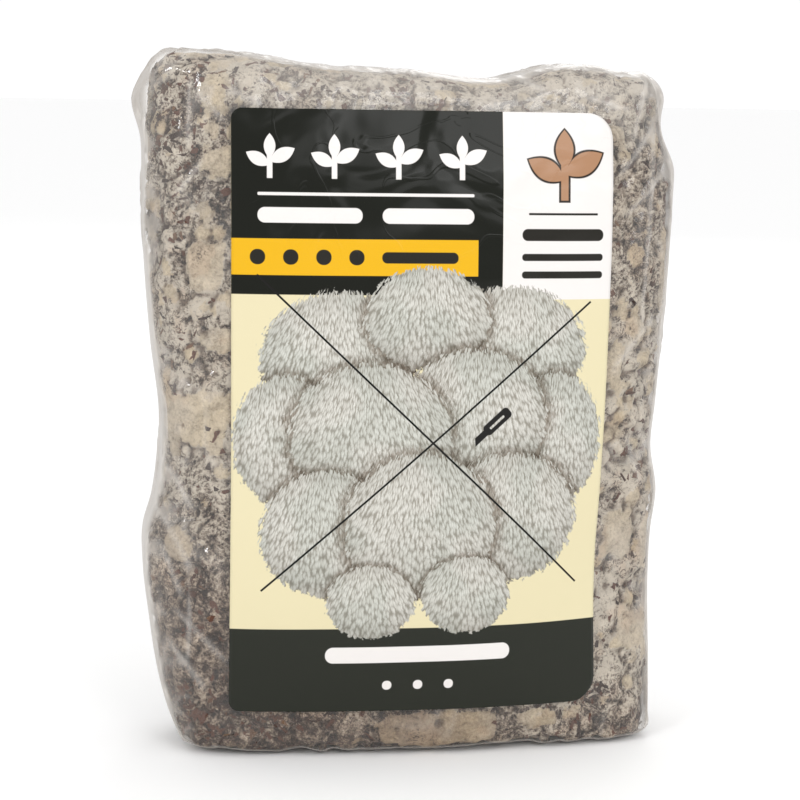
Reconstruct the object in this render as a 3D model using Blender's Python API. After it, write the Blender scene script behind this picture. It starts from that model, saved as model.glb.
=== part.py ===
"""A mushroom grow kit: a block of sawdust grown through with mycelium, in a clear gusseted bag.

The bag stands on its flat base. Its spare top is folded over and down the back, where a strip of
tape holds it, and its breathing filter faces out above the tape. A printed label is on the front.
Metres, +Z up, front towards -Y, origin on the ground under the middle of the kit.
"""

import bmesh
import bpy
import numpy as np

# The label is a stock size, which the rest of the kit is scaled from.
LABEL_WIDTH = 0.0965
LABEL_HEIGHT = 0.1524
LABEL_CORNER = 0.0030
LABEL_FOOT = 0.0128
LABEL_THICKNESS = 0.0003

# Film and the clearance that touching pieces keep
FILM = 0.0005
GAP = 0.0003

# The bag's plan is a superellipse with a crown on its front and back panels. Its edges are rounded:
# the bottom by one radius, and the top by what the round takes off the width, the depth and the height.
PLAN_POWER = 4.6
HEIGHT = 0.1750
BOTTOM_ROUND = 0.0040
TOP_ROUND_WIDTH = 0.0060
TOP_ROUND_DEPTH = 0.0100
TOP_ROUND_DROP = 0.0080

# Side outlines seen from the front: (height, distance from the middle)
LEFT_SIDE = (
    (0.000, 0.0598),
    (0.008, 0.0625),
    (0.018, 0.0652),
    (0.032, 0.0674),
    (0.046, 0.0690),
    (0.056, 0.0690),
    (0.064, 0.0668),
    (0.085, 0.0648),
    (0.104, 0.0670),
    (0.130, 0.0690),
    (0.150, 0.0694),
    (0.175, 0.0680),
)
RIGHT_SIDE = (
    (0.000, 0.0655),
    (0.008, 0.0664),
    (0.020, 0.0664),
    (0.044, 0.0660),
    (0.056, 0.0662),
    (0.066, 0.0670),
    (0.079, 0.0648),
    (0.090, 0.0654),
    (0.108, 0.0664),
    (0.128, 0.0676),
    (0.150, 0.0672),
    (0.162, 0.0640),
    (0.175, 0.0648),
)

# Half the depth of the side gussets, and how far each panel swells past it: (height, distance)
GUSSET_DEPTH = (
    (0.000, 0.0200),
    (0.020, 0.0220),
    (0.060, 0.0225),
    (0.110, 0.0215),
    (0.150, 0.0195),
    (0.175, 0.0175),
)
FRONT_CROWN = (
    (0.000, 0.0030),
    (0.020, 0.0045),
    (0.060, 0.0060),
    (0.110, 0.0055),
    (0.150, 0.0040),
    (0.175, 0.0020),
)
BACK_CROWN = (
    (0.000, 0.0010),
    (0.030, 0.0030),
    (0.090, 0.0040),
    (0.150, 0.0020),
    (0.175, 0.0010),
)

# Upper edge seen from the front: (distance right of the middle, height). It bends the top 35 mm.
TOP_EDGE = (
    (-0.072, 0.1795),
    (-0.050, 0.1796),
    (-0.025, 0.1765),
    (0.000, 0.1752),
    (0.019, 0.1734),
    (0.038, 0.1774),
    (0.055, 0.1760),
    (0.072, 0.1750),
)
TOP_BEND_FROM = 0.1400

# Local pushes of the form, as (centre, push, spread): those of film and block, and the film's own ears
LUMPS = (
    ((-0.0580, 0.0000, 0.0000), (0.0030, 0.0000, 0.0000), (0.0200, 0.0300, 0.0060)),
    ((0.0550, -0.0200, 0.0450), (0.0000, 0.0060, 0.0000), (0.0300, 0.0300, 0.0350)),
    ((0.0450, -0.0200, 0.1450), (0.0000, -0.0020, 0.0000), (0.0300, 0.0300, 0.0300)),
)
EARS = (
    ((-0.0700, 0.0020, 0.1665), (-0.0045, 0.0000, 0.0000), (0.0300, 0.0110, 0.0070)),
    ((0.0670, 0.0000, 0.1690), (0.0020, 0.0000, 0.0000), (0.0300, 0.0110, 0.0060)),
    ((0.0670, 0.0000, 0.1520), (0.0025, 0.0000, 0.0000), (0.0300, 0.0100, 0.0070)),
)

# The spare top of the bag, folded down the back. Its edges rise from the panel within one step.
TAIL_HALF_WIDTH = 0.0540
TAIL_START = 0.1680
TAIL_END = 0.0940
TAIL_THICKNESS = 0.0012
STEP = 0.0004

# The breathing filter and the window in the film behind it
FILTER_SIZE = 0.0380
FILTER_HEIGHT = 0.1320
FILTER_CORNER = 0.0020
FILTER_THICKNESS = 0.0004
WINDOW_HALF = 0.0130

# The tape across the end of the fold
TAPE_LENGTH = 0.1000
TAPE_WIDTH = 0.0240
TAPE_CORNER = 0.0005
TAPE_THICKNESS = 0.0002

# How far the block's top lies under the film
HEADROOM = 0.0030

# The form's rows: caps shrunk towards a pole, the angles of both rounded edges, and the wall's
# heights, which include the fold's end and the window's edges
BASE_SHRINK = (0.0, 0.5)
BOTTOM_ARC = (0, 45, 90)
LOW_WALL = (0.012, 0.022, 0.034, 0.046, 0.058, 0.070, 0.082)
FOLD_ROWS = (TAIL_END - STEP, TAIL_END, 0.106)
WINDOW_ROWS = (FILTER_HEIGHT - WINDOW_HALF, FILTER_HEIGHT, FILTER_HEIGHT + WINDOW_HALF)
HIGH_WALL = (0.152, 0.159)
WALL = LOW_WALL + FOLD_ROWS + WINDOW_ROWS + HIGH_WALL
TOP_ARC = (0, 30, 60, 90)
TOP_SHRINK = (0.75, 0.5, 0.25, 0.0)

# The form's columns: shares of the half depth on the gussets, and of the half width on the panels
GUSSET_SHARES = (0.30, 0.58, 0.75, 0.86)
PANEL_SHARES = (0.34, 0.48, 0.60, 0.70)

# The kit is drawn about the bag's middle, then moved so that its own box is centred on the origin.
TO_CENTRE = (0.0012, 0.0005, 0.0)


def smooth_through(at, points):
    """A smooth curve through points: each span is a cubic whose end slopes come from its neighbours."""
    stations, values = np.array(points).T
    slopes = np.gradient(values, stations)
    at = np.clip(at, stations[0], stations[-1])
    i = np.clip(np.searchsorted(stations, at) - 1, 0, len(stations) - 2)
    span = stations[i + 1] - stations[i]
    s = (at - stations[i]) / span
    rise = (3 - 2 * s) * s * s
    bend = span * s * (1 - s) * (slopes[i] * (1 - s) - slopes[i + 1] * s)
    return values[i] * (1 - rise) + values[i + 1] * rise + bend


def top_share(height):
    """How much of the upper edge's rise and fall a point at this height takes, from 0 to 1."""
    s = np.clip((height - TOP_BEND_FROM) / (HEIGHT - TOP_BEND_FROM), 0, 1)
    return s * s * (3 - 2 * s)


def pushed(points, pushes=LUMPS + EARS):
    """Points of the even form with the upper edge bent and each push added, which fades as a bell curve."""
    bent = points.copy()
    bent[..., 2] += top_share(points[..., 2]) * (smooth_through(points[..., 0], TOP_EDGE) - HEIGHT)
    moved = bent.copy()
    for centre, push, spread in pushes:
        away = (bent - np.array(centre)) / np.array(spread)
        moved += np.exp(-(away**2).sum(axis=-1))[..., None] * np.array(push)
    return moved + np.array(TO_CENTRE)


def half_width(height, right):
    """Distance from the middle to the side outline at a height, on the right or the left."""
    return np.where(right, smooth_through(height, RIGHT_SIDE), smooth_through(height, LEFT_SIDE))


def section(turn, height, inset_x=0.0, inset_y=0.0, scale=1.0):
    """A point of the even form: turn is the plan angle from +X, and the insets draw the section in."""
    c, s = np.cos(turn), np.sin(turn)
    across = np.sign(c) * np.abs(c) ** (2 / PLAN_POWER)
    along = np.sign(s) * np.abs(s) ** (2 / PLAN_POWER)
    crown = np.where(s > 0, smooth_through(height, BACK_CROWN), smooth_through(height, FRONT_CROWN))
    depth = (smooth_through(height, GUSSET_DEPTH) - inset_y) * along
    depth = depth + np.sign(s) * crown * (1 - across**2)
    width = (half_width(height, c > 0) - inset_x) * across
    return np.stack(np.broadcast_arrays(width * scale, depth * scale, height), axis=-1)


def panel_point(across, height, side):
    """A point of the front (side -1) or back (side 1) panel at this distance from the middle and height."""
    rise = smooth_through(across, TOP_EDGE) - HEIGHT
    level = height - top_share(height) * rise
    level = height - top_share(level) * rise
    share = np.clip(np.abs(across) / half_width(level, across > 0), 0, 1)
    turn = side * np.arccos(np.sign(across) * share ** (PLAN_POWER / 2))
    return pushed(section(turn, level))


def plan_turns():
    """Plan angles of the form's columns, the same in all four quarters."""
    edges = np.array([WINDOW_HALF, TAIL_HALF_WIDTH, TAIL_HALF_WIDTH + STEP])
    shares = np.concatenate([PANEL_SHARES, edges / half_width(FILTER_HEIGHT, True)])
    on_gusset = np.arcsin(np.array(GUSSET_SHARES) ** (PLAN_POWER / 2))
    on_panel = np.arccos(np.sort(shares)[::-1] ** (PLAN_POWER / 2))
    quarter = np.concatenate([on_gusset, on_panel])
    half = np.concatenate([[0], quarter, [np.pi / 2], np.pi - quarter[::-1], [np.pi]])
    return np.concatenate([half, -half[-2:0:-1]])


def form_grid(turns):
    """The closed form as rows of points, from the middle of the base up the wall to the middle of the top."""
    level = np.zeros_like(turns)
    rows = [section(turns, level, BOTTOM_ROUND, BOTTOM_ROUND, scale) for scale in BASE_SHRINK]
    for arc in np.radians(BOTTOM_ARC):
        inset = BOTTOM_ROUND * (1 - np.sin(arc))
        rows.append(section(turns, level + BOTTOM_ROUND * (1 - np.cos(arc)), inset, inset))
    rows += [section(turns, level + height) for height in WALL]
    for arc in np.radians(TOP_ARC):
        taken = 1 - np.cos(arc)
        height = HEIGHT - TOP_ROUND_DROP * (1 - np.sin(arc))
        rows.append(section(turns, level + height, TOP_ROUND_WIDTH * taken, TOP_ROUND_DEPTH * taken))
    for scale in TOP_SHRINK:
        rows.append(section(turns, level + HEIGHT, TOP_ROUND_WIDTH, TOP_ROUND_DEPTH, scale))
    return np.array(rows)


def outward(grid, closed=True):
    """Unit normals of a grid of points, from the differences between its neighbours."""
    around = np.roll(grid, -1, axis=1) - np.roll(grid, 1, axis=1) if closed else np.gradient(grid, axis=1)
    normals = np.cross(around, np.gradient(grid, axis=0))
    return normals / np.maximum(np.linalg.norm(normals, axis=-1, keepdims=True), 1e-12)


def offset_form(grid, distance):
    """The form's grid moved outwards by a distance, with its base kept flat and its poles single points."""
    normals = outward(grid)
    normals[: len(BASE_SHRINK) + 1] = (0, 0, -1)
    normals[-1] = (0, 0, 1)
    return grid + normals * np.broadcast_to(distance, grid.shape[:2])[..., None]


def add_skin(mesh, grid, flipped=False, window=None):
    """Adds a form's grid to a bmesh, its end rows as poles. Returns the corners round the window."""
    rows, columns = grid.shape[:2]
    low_pole, top_pole = (mesh.verts.new(grid[end, 0]) for end in (0, -1))
    rings = [[mesh.verts.new(point) for point in row] for row in grid[1:-1]]
    faces = []
    for i in range(columns):
        j = (i + 1) % columns
        faces += [(low_pole, rings[0][j], rings[0][i]), (top_pole, rings[-1][i], rings[-1][j])]
        for level in range(rows - 3):
            if window is None or not (level in window[0] and i in window[1]):
                a, b, c, d = rings[level][i], rings[level][j], rings[level + 1][j], rings[level + 1][i]
                faces += [(a, b, c), (a, c, d)]
    for face in faces:
        mesh.faces.new(face[::-1] if flipped else face)
    if window is None:
        return []
    low, high, left, right = window[0][0], window[0][-1] + 1, window[1][0], window[1][-1] + 1
    border = [(low, i) for i in range(left, right)] + [(level, right) for level in range(low, high)]
    border += [(high, i) for i in range(right, left, -1)] + [(level, left) for level in range(high, low, -1)]
    return [rings[level][i] for level, i in border]


def material(name, colour, roughness, alpha=1.0):
    """A plain Principled material. Nothing on the kit is metal."""
    made = bpy.data.materials.new(name)
    made.use_nodes = True
    shader = made.node_tree.nodes["Principled BSDF"]
    shader.inputs["Base Color"].default_value = (*colour, 1)
    shader.inputs["Metallic"].default_value = 0
    shader.inputs["Roughness"].default_value = roughness
    shader.inputs["Alpha"].default_value = alpha
    return made


def finish_piece(name, mesh, finish):
    """Turns a bmesh into a named object, shaded smooth but for its sharp edges."""
    bmesh.ops.recalc_face_normals(mesh, faces=mesh.faces)
    data = bpy.data.meshes.new(name)
    mesh.to_mesh(data)
    mesh.free()
    data.shade_smooth()
    data.set_sharp_from_angle(angle=np.radians(40))
    data.materials.append(finish)
    piece = bpy.data.objects.new(name, data)
    bpy.context.scene.collection.objects.link(piece)


def sheet_grid(side, width, height, foot, corner, columns, rows):
    """Panel points of a sheet with rounded corners, laid along the panel's curve to keep its width."""
    ease = corner * (1 - np.cos(np.linspace(0, np.pi / 2, 4)))
    up = np.concatenate([ease, np.linspace(corner, height - corner, rows)[1:-1], height - ease[::-1]])
    from_end = np.minimum(np.minimum(up, height - up), corner)
    half = width / 2 - corner + np.sqrt(np.maximum(corner**2 - (corner - from_end) ** 2, 0))
    fine = np.linspace(-TAIL_HALF_WIDTH, TAIL_HALF_WIDTH, 217)
    grid = []
    for level, reach in zip(foot + up, half):
        line = panel_point(fine, level + 0 * fine, side)
        run = np.concatenate([[0], np.cumsum(np.linalg.norm(np.diff(line, axis=0), axis=1))])
        run -= np.interp(0, fine, run)
        across = np.interp(np.linspace(-reach, reach, columns), run, fine)
        grid.append(panel_point(across, level + 0 * across, side))
    grid = np.array(grid)
    return grid if side < 0 else grid[:, ::-1]


def sheet_piece(name, grid, lift, thickness, finish):
    """A thin closed sheet that lies on a grid of panel points, lift above them."""
    normals = outward(grid, closed=False)
    mesh = bmesh.new()
    under, over = (
        [[mesh.verts.new(point) for point in row] for row in grid + normals * height]
        for height in (lift, lift + thickness)
    )
    rows, columns = grid.shape[:2]
    for level in range(rows - 1):
        for i in range(columns - 1):
            corners = ((level, i), (level, i + 1), (level + 1, i + 1), (level + 1, i))
            mesh.faces.new([over[r][k] for r, k in corners])
            mesh.faces.new([under[r][k] for r, k in reversed(corners)])
    rim = [(0, i) for i in range(columns - 1)] + [(level, columns - 1) for level in range(rows - 1)]
    rim += [(rows - 1, i) for i in range(columns - 1, 0, -1)]
    rim += [(level, 0) for level in range(rows - 1, 0, -1)]
    for (r, k), (s, m) in zip(rim, rim[1:] + rim[:1]):
        mesh.faces.new([under[r][k], under[s][m], over[s][m], over[r][k]])
    finish_piece(name, mesh, finish)


def substrate_block(form, finish):
    """The block that fills the bag, a little under the film, and further under it at the top."""
    facing_up = np.clip(outward(form)[..., 2], 0, 1)
    facing_up[-1] = 1
    mesh = bmesh.new()
    add_skin(mesh, offset_form(form, -FILM - GAP - HEADROOM * facing_up * top_share(form[..., 2])))
    finish_piece("substrate_block", mesh, finish)


def tail_lift(even_form):
    """Thickness of the folded spare top over each point of the even form, which is 0 off the fold."""
    x, y, z = np.moveaxis(even_form, -1, 0)
    share = np.abs(x) / half_width(z, x > 0)
    edge_share = (TAIL_HALF_WIDTH + STEP / 2) / half_width(FILTER_HEIGHT, True)
    on_fold = (y > 0) & (share < edge_share) & (z > TAIL_END - STEP / 2) & (z < TAIL_START)
    return np.where(on_fold, TAIL_THICKNESS, 0.0)


def grow_bag(form, lift, turns, finish):
    """The film bag: an outer skin that bears the fold, and an inner one, joined round the filter's window."""
    below_wall = len(BASE_SHRINK) - 1 + len(BOTTOM_ARC)
    levels = [below_wall + WALL.index(height) for height in WINDOW_ROWS[:-1]]
    across = section(turns, FILTER_HEIGHT + 0 * turns)[:, 0]
    columns = np.flatnonzero((np.abs(across) < WINDOW_HALF + STEP) & (turns > 0))
    window = (levels, list(columns[:-1]))
    mesh = bmesh.new()
    outer = add_skin(mesh, offset_form(form, lift), window=window)
    inner = add_skin(mesh, offset_form(form, -FILM), flipped=True, window=window)
    for i, corner in enumerate(outer):
        j = (i + 1) % len(outer)
        mesh.faces.new([corner, outer[j], inner[j], inner[i]])
    finish_piece("grow_bag", mesh, finish)


def label(finish):
    """The printed label, stuck flat to the front."""
    grid = sheet_grid(-1, LABEL_WIDTH, LABEL_HEIGHT, LABEL_FOOT, LABEL_CORNER, columns=13, rows=18)
    sheet_piece("label", grid, GAP, LABEL_THICKNESS, finish)


def filter_patch(finish):
    """The breathing filter, over the window in the back."""
    foot = FILTER_HEIGHT - FILTER_SIZE / 2
    grid = sheet_grid(1, FILTER_SIZE, FILTER_SIZE, foot, FILTER_CORNER, columns=7, rows=5)
    sheet_piece("filter_patch", grid, TAIL_THICKNESS + GAP, FILTER_THICKNESS, finish)


def closing_tape(finish):
    """The tape that holds the end of the fold down."""
    foot = TAIL_END - TAPE_WIDTH / 2
    grid = sheet_grid(1, TAPE_LENGTH, TAPE_WIDTH, foot, TAPE_CORNER, columns=13, rows=5)
    sheet_piece("closing_tape", grid, TAIL_THICKNESS + GAP, TAPE_THICKNESS, finish)


def main():
    for obj in list(bpy.data.objects):
        bpy.data.objects.remove(obj, do_unlink=True)
    turns = plan_turns()
    even_form = form_grid(turns)
    film = material("clear_film", (0.86, 0.85, 0.82), 0.25, alpha=0.3)
    substrate_block(pushed(even_form, LUMPS), material("mycelium_block", (0.52, 0.46, 0.39), 0.85))
    grow_bag(pushed(even_form), tail_lift(even_form), turns, film)
    label(material("label_stock", (0.93, 0.88, 0.72), 0.35))
    filter_patch(material("filter_paper", (0.90, 0.90, 0.88), 0.8))
    closing_tape(material("clear_tape", (0.85, 0.83, 0.76), 0.15, alpha=0.4))


main()
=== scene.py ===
import bpy
import numpy as np
from mathutils import Matrix


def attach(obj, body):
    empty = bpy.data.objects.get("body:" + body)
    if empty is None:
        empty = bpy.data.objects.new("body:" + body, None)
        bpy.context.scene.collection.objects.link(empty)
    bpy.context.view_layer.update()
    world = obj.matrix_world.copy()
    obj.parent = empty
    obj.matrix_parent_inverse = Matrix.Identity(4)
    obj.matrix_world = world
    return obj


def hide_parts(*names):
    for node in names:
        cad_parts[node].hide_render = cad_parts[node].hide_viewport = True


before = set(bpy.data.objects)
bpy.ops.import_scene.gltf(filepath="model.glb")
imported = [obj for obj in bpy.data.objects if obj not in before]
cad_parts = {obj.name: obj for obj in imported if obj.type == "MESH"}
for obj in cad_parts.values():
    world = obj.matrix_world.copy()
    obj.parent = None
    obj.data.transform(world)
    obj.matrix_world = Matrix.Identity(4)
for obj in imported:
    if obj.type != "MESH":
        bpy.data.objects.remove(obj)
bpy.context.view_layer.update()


# The block. Hardwood sawdust that mycelium has grown through and bound into one brick, with cream knobs
# where it grew thickest and bare brown sawdust where it didn't. It fills the bag, so its form is the
# bag's: a superellipse in plan whose side outlines pinch and bulge, pressed flat on the ground.
PLAN_POWER = 4.6
HEIGHT = 0.1750
BOTTOM_ROUND = 0.0040
TOP_ROUND_WIDTH = 0.0060
TOP_ROUND_DEPTH = 0.0100
TOP_ROUND_DROP = 0.0080
LEFT_SIDE = (
    (0.000, 0.0598),
    (0.008, 0.0625),
    (0.018, 0.0652),
    (0.032, 0.0674),
    (0.046, 0.0690),
    (0.056, 0.0690),
    (0.064, 0.0668),
    (0.085, 0.0648),
    (0.104, 0.0670),
    (0.130, 0.0690),
    (0.150, 0.0694),
    (0.175, 0.0680),
)
RIGHT_SIDE = (
    (0.000, 0.0655),
    (0.008, 0.0664),
    (0.020, 0.0664),
    (0.044, 0.0660),
    (0.056, 0.0662),
    (0.066, 0.0670),
    (0.079, 0.0648),
    (0.090, 0.0654),
    (0.108, 0.0664),
    (0.128, 0.0676),
    (0.150, 0.0672),
    (0.162, 0.0640),
    (0.175, 0.0648),
)
GUSSET_DEPTH = (
    (0.000, 0.0200),
    (0.020, 0.0220),
    (0.060, 0.0225),
    (0.110, 0.0215),
    (0.150, 0.0195),
    (0.175, 0.0175),
)
FRONT_CROWN = (
    (0.000, 0.0030),
    (0.020, 0.0045),
    (0.060, 0.0060),
    (0.110, 0.0055),
    (0.150, 0.0040),
    (0.175, 0.0020),
)
BACK_CROWN = (
    (0.000, 0.0010),
    (0.030, 0.0030),
    (0.090, 0.0040),
    (0.150, 0.0020),
    (0.175, 0.0010),
)
TOP_EDGE = (
    (-0.072, 0.1795),
    (-0.050, 0.1796),
    (-0.025, 0.1765),
    (0.000, 0.1752),
    (0.019, 0.1734),
    (0.038, 0.1774),
    (0.055, 0.1760),
    (0.072, 0.1750),
)
TOP_BEND_FROM = 0.1400
LUMPS = (
    ((-0.0570, -0.0190, 0.0000), (-0.0035, -0.0015, 0.0000), (0.0120, 0.0120, 0.0070)),
    ((0.0600, -0.0190, 0.0000), (0.0015, -0.0010, 0.0000), (0.0120, 0.0120, 0.0060)),
    ((-0.0580, 0.0000, 0.0000), (0.0030, 0.0000, 0.0000), (0.0200, 0.0300, 0.0060)),
    ((0.0550, -0.0200, 0.0450), (0.0000, 0.0060, 0.0000), (0.0300, 0.0300, 0.0350)),
    ((0.0450, -0.0200, 0.1450), (0.0000, -0.0020, 0.0000), (0.0300, 0.0300, 0.0300)),
)
TO_CENTRE = (0.0012, 0.0005, 0.0)
COLUMNS = 400
ROW_STEP = 0.00095

# How far the block lies under the film at least, and how much further on its sides and on its top
UNDER_FILM = 0.0004
SIDE_SLACK = 0.0003
TOP_SLACK = 0.0005

# Cream patches and knobs that show at the front, as (x, z, half width, half height)
CREAM_PATCHES = (
    (-0.0535, 0.1262, 0.0056, 0.0066),
    (-0.0560, 0.0880, 0.0085, 0.0075),
    (-0.0500, 0.1080, 0.0050, 0.0034),
    (0.0520, 0.1004, 0.0030, 0.0058),
    (0.0575, 0.1112, 0.0034, 0.0030),
    (0.0080, 0.0060, 0.0165, 0.0052),
    (0.0350, 0.0085, 0.0060, 0.0032),
    (0.0560, 0.0560, 0.0050, 0.0060),
    (-0.0600, 0.0560, 0.0040, 0.0050),
    (0.0600, 0.0300, 0.0040, 0.0060),
)
FRONT_KNOBS = (
    (-0.0575, 0.1373, 0.0036),
    (-0.0537, 0.1403, 0.0027),
    (-0.0541, 0.1338, 0.0026),
    (-0.0635, 0.1262, 0.0028),
    (-0.0635, 0.1332, 0.0025),
    (-0.0628, 0.1188, 0.0030),
    (-0.0590, 0.1460, 0.0030),
    (-0.0500, 0.1340, 0.0022),
    (-0.0480, 0.1180, 0.0030),
    (-0.0610, 0.1110, 0.0034),
    (0.0560, 0.1180, 0.0032),
    (0.0520, 0.0905, 0.0028),
    (0.0585, 0.0870, 0.0034),
    (0.0550, 0.0790, 0.0026),
)
OTHER_KNOBS = 1500
# Knobs from this radius up get a thin ring of painted shade
RINGED_FROM = 0.0018
PITS = 500

# Where chips of wood lie thickest, as (x, z, half width, half height, how thick)
CHIP_PLACES = (
    (-0.0620, 0.1700, 0.0150, 0.0130, 1.00),
    (-0.0560, 0.1480, 0.0070, 0.0150, 0.55),
    (-0.0200, 0.1690, 0.0250, 0.0050, 0.45),
    (0.0250, 0.1720, 0.0300, 0.0050, 0.30),
    (0.0600, 0.1420, 0.0080, 0.0180, 0.25),
    (-0.0560, 0.1020, 0.0090, 0.0060, 0.30),
    (-0.0560, 0.0380, 0.0080, 0.0080, 0.30),
    (-0.0520, 0.0140, 0.0120, 0.0090, 0.45),
    (-0.0250, 0.0080, 0.0160, 0.0060, 0.40),
    (0.0500, 0.0100, 0.0100, 0.0080, 0.40),
    (0.0580, 0.0900, 0.0060, 0.0160, 0.25),
)

# How far the mycelium has grown over the sawdust at each height, on the left and on the right
GROWN_LEFT = (
    (0.000, 0.00),
    (0.015, 0.00),
    (0.040, 0.10),
    (0.062, 0.28),
    (0.076, 0.66),
    (0.092, 0.96),
    (0.110, 0.84),
    (0.126, 0.86),
    (0.142, 0.60),
    (0.156, 0.58),
    (0.175, 1.15),
)
GROWN_RIGHT = (
    (0.000, 0.10),
    (0.012, 0.35),
    (0.024, 0.95),
    (0.050, 1.15),
    (0.075, 1.05),
    (0.100, 1.10),
    (0.120, 0.65),
    (0.140, 0.24),
    (0.150, 0.20),
    (0.163, 0.60),
    (0.175, 1.15),
)
GROWN_BLEND = 0.035

# How deep the block's hollows, its grooves between crumbs and its grit go, and how wide the painted shade
# line round a ring is
HOLLOW_DEPTH = 0.0012
GROOVE_DEPTH = 0.0017
GRIT_DEPTH = 0.0004
RING_WIDTH = 0.0005


def smooth_through(at, points):
    """A smooth curve through points: each span is a cubic whose end slopes come from its neighbours."""
    stations, values = np.array(points).T
    slopes = np.gradient(values, stations)
    at = np.clip(at, stations[0], stations[-1])
    i = np.clip(np.searchsorted(stations, at) - 1, 0, len(stations) - 2)
    span = stations[i + 1] - stations[i]
    s = (at - stations[i]) / span
    rise = (3 - 2 * s) * s * s
    bend = span * s * (1 - s) * (slopes[i] * (1 - s) - slopes[i + 1] * s)
    return values[i] * (1 - rise) + values[i + 1] * rise + bend


def smooth_step(value, low, high):
    """0 below low and 1 above high, with the cubic 3s^2 - 2s^3 between them."""
    s = np.clip((value - low) / (high - low), 0, 1)
    return s * s * (3 - 2 * s)


def pushed(points, pushes):
    """Points of the even form with the upper edge bent and each push added, which fades as a bell curve."""
    bent = points.copy()
    share = smooth_step(points[..., 2], TOP_BEND_FROM, HEIGHT)
    bent[..., 2] += share * (smooth_through(points[..., 0], TOP_EDGE) - HEIGHT)
    moved = bent.copy()
    for centre, push, spread in pushes:
        away = (bent - np.array(centre)) / np.array(spread)
        moved += np.exp(-(away**2).sum(axis=-1))[..., None] * np.array(push)
    return moved + np.array(TO_CENTRE)


def half_width(height, right):
    """Distance from the middle to the side outline at a height, on the right or the left."""
    return np.where(right, smooth_through(height, RIGHT_SIDE), smooth_through(height, LEFT_SIDE))


def section(turn, height, inset_x=0.0, inset_y=0.0, scale=1.0):
    """A point of the even form: on the superellipse |x/a|^p + |y/b|^p = 1 at this plan angle from +X."""
    c, s = np.cos(turn), np.sin(turn)
    across = np.sign(c) * np.abs(c) ** (2 / PLAN_POWER)
    along = np.sign(s) * np.abs(s) ** (2 / PLAN_POWER)
    crown = np.where(s > 0, smooth_through(height, BACK_CROWN), smooth_through(height, FRONT_CROWN))
    depth = (smooth_through(height, GUSSET_DEPTH) - inset_y) * along
    depth = depth + np.sign(s) * crown * (1 - across**2)
    width = (half_width(height, c > 0) - inset_x) * across
    return np.stack(np.broadcast_arrays(width * scale, depth * scale, height), axis=-1)


def run_along(line):
    """How far along a line each of its points lies."""
    return np.concatenate([[0], np.cumsum(np.linalg.norm(np.diff(line, axis=0), axis=1))])


def even_form():
    """The form's grid: columns evenly spaced round it, and rows from the base's middle to the top's.

    The rows run out over the base, up the quarter circle of the bottom edge, up the wall, over the
    quarter ellipse of the top edge, and in over the top.
    """
    fine = np.linspace(-np.pi, np.pi, 4001)
    run = run_along(section(fine, np.full_like(fine, HEIGHT / 2)))
    turns = np.interp(np.linspace(0, run[-1], COLUMNS, endpoint=False), run, fine)
    base, bottom = np.linspace(0, 1, 15)[:-1], np.linspace(0, np.pi / 2, 6)
    wall = np.arange(BOTTOM_ROUND + ROW_STEP, HEIGHT - TOP_ROUND_DROP - ROW_STEP / 2, ROW_STEP)
    top_arc, top = np.linspace(0, np.pi / 2, 13), np.linspace(1, 0, 21)[1:]
    flat, up = np.zeros_like, np.ones_like
    height = [flat(base), BOTTOM_ROUND * (1 - np.cos(bottom)), wall]
    height += [HEIGHT - TOP_ROUND_DROP * (1 - np.sin(top_arc)), HEIGHT * up(top)]
    inset_x = [BOTTOM_ROUND * up(base), BOTTOM_ROUND * (1 - np.sin(bottom)), flat(wall)]
    inset_y = inset_x + [TOP_ROUND_DEPTH * (1 - np.cos(top_arc)), TOP_ROUND_DEPTH * up(top)]
    inset_x = inset_x + [TOP_ROUND_WIDTH * (1 - np.cos(top_arc)), TOP_ROUND_WIDTH * up(top)]
    scale = [base, up(bottom), up(wall), up(top_arc), top]
    rows = [np.concatenate(part)[:, None] for part in (height, inset_x, inset_y, scale)]
    return section(turns[None, :], *rows)


def outward(grid, closed=True):
    """Unit normals of a grid of points: the cross product of its differences along both ways."""
    around = np.roll(grid, -1, axis=1) - np.roll(grid, 1, axis=1) if closed else np.gradient(grid, axis=1)
    normals = np.cross(around, np.gradient(grid, axis=0))
    if closed:
        normals[0], normals[-1] = (0, 0, -1), (0, 0, 1)
    return normals / np.maximum(np.linalg.norm(normals, axis=-1, keepdims=True), 1e-12)


def lattice_noise(points, size, seed):
    """Smooth noise from 0 to 1: random numbers on a lattice of this spacing, blended by smooth steps."""
    low, high = np.array([-0.085, -0.045, -0.01]), np.array([0.085, 0.045, 0.195])
    counts = np.ceil((high - low) / size).astype(int) + 2
    lattice = np.random.default_rng(seed).random(counts)
    place = np.clip((points - low) / size, 0, counts - 1.001)
    cell = place.astype(int)
    s = place - cell
    s = s * s * (3 - 2 * s)
    total = 0
    for corner in np.ndindex(2, 2, 2):
        weight = np.prod(np.where(corner, s, 1 - s), axis=-1)
        total = total + weight * lattice[tuple(np.moveaxis(cell + corner, -1, 0))]
    return total


def layered_noise(points, size, seed, layers=4, fade=0.55):
    """Noise at sizes that halve and strengths that fade, added up and stretched back to 0 to 1."""
    shares = fade ** np.arange(layers)
    total = sum(share * lattice_noise(points, size / 2.0**i, seed + i) for i, share in enumerate(shares))
    return np.clip((total / shares.sum() - 0.5) * 1.7 + 0.5, 0, 1)


def folded_noise(points, size, seed, fade=0.55):
    """Two layers of noise folded about their middle, |2n - 1|: 0 along winding lines and up to 1 between."""
    return np.abs(2 * layered_noise(points, size, seed, layers=2, fade=fade) - 1)


def neighbours(values):
    """The values next to each value of the form's grid: round it both ways, below and above."""
    below = np.concatenate([values[:1], values[:-1]])
    above = np.concatenate([values[1:], values[-1:]])
    return np.roll(values, 1, 1), np.roll(values, -1, 1), below, above


def softened(values, times):
    """Values averaged with their four neighbours on the form's grid, over and over."""
    for _ in range(times):
        values = (sum(neighbours(values)) + 2 * values) / 6
    return values


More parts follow.
